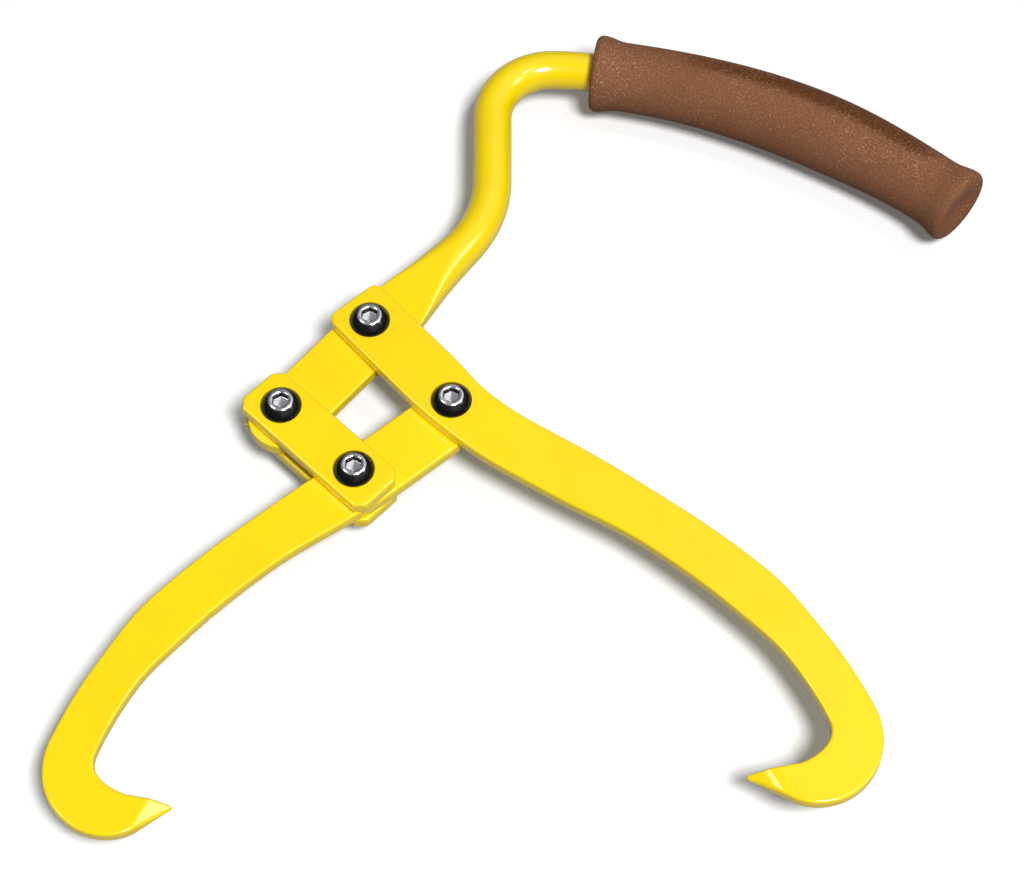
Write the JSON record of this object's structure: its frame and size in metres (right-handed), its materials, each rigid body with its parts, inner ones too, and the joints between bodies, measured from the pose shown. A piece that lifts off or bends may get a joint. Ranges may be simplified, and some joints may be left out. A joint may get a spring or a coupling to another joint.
{
  "type": "log tongs",
  "caption": "Hand-held log lifting tongs: hooked flat-steel jaws crossing at a pivot, drawn shut by a bent round handle with a rubber grip through short links.",
  "frame": {"origin": "centre of the bottom face of the lock nut at the pivot between the links and the left jaw", "axes": "+Z square to the plates, from the lock nuts to the screw heads; +X towards the closed end of the grip; +Y away from the hooks"},
  "size_m": [0.3182, 0.3137, 0.0314],
  "materials": {
    "yellow_paint": "bright yellow powder coat, semi-gloss",
    "grip_rubber": "matt brown, finely speckled",
    "black_steel": "polished black oxide",
    "zinc_steel": "bright zinc plate",
    "nylon": "off-white nylon"
  },
  "bodies": {
    "handle": {"handle_bar": "yellow_paint", "grip": "grip_rubber", "handle_pivot_screw": "black_steel", "handle_pivot_washer": "zinc_steel", "handle_pivot_nut": "zinc_steel", "handle_pivot_ring": "nylon", "handle_link_screw": "black_steel", "handle_link_washer": "zinc_steel", "handle_link_nut": "zinc_steel", "handle_link_ring": "nylon"},
    "right_jaw": {"right_jaw": "yellow_paint", "jaw_pivot_screw": "black_steel", "jaw_pivot_washer": "zinc_steel", "jaw_pivot_nut": "zinc_steel", "jaw_pivot_ring": "nylon"},
    "left_jaw": {"left_jaw": "yellow_paint", "jaw_link_screw": "black_steel", "jaw_link_washer": "zinc_steel", "jaw_link_nut": "zinc_steel", "jaw_link_ring": "nylon"},
    "links": {"top_link": "yellow_paint", "bottom_link": "yellow_paint"}
  },
  "joints": [
    {"name": "right_jaw_turn", "type": "hinge", "parent": "handle", "child": "right_jaw", "pos_m": [0.00383, 0.05902, 0.0173], "axis": [0, 0, 1], "range_deg": [-45, 8]},
    {"name": "left_jaw_turn", "type": "hinge", "parent": "right_jaw", "child": "left_jaw", "pos_m": [0.03232, 0.02682, 0.0173], "axis": [0, 0, 1], "range_deg": [-8.1, 45.2]},
    {"name": "links_turn", "type": "hinge", "parent": "handle", "child": "links", "pos_m": [-0.0254, 0.02481, 0.0173], "axis": [0, 0, 1], "range_deg": [-54.8, 9.8]}
  ],
  "couplings": [
    {"joint": "left_jaw_turn", "follows": "right_jaw_turn", "ratio": -1.0018},
    {"joint": "links_turn", "follows": "right_jaw_turn", "ratio": 1.2147}
  ]
}
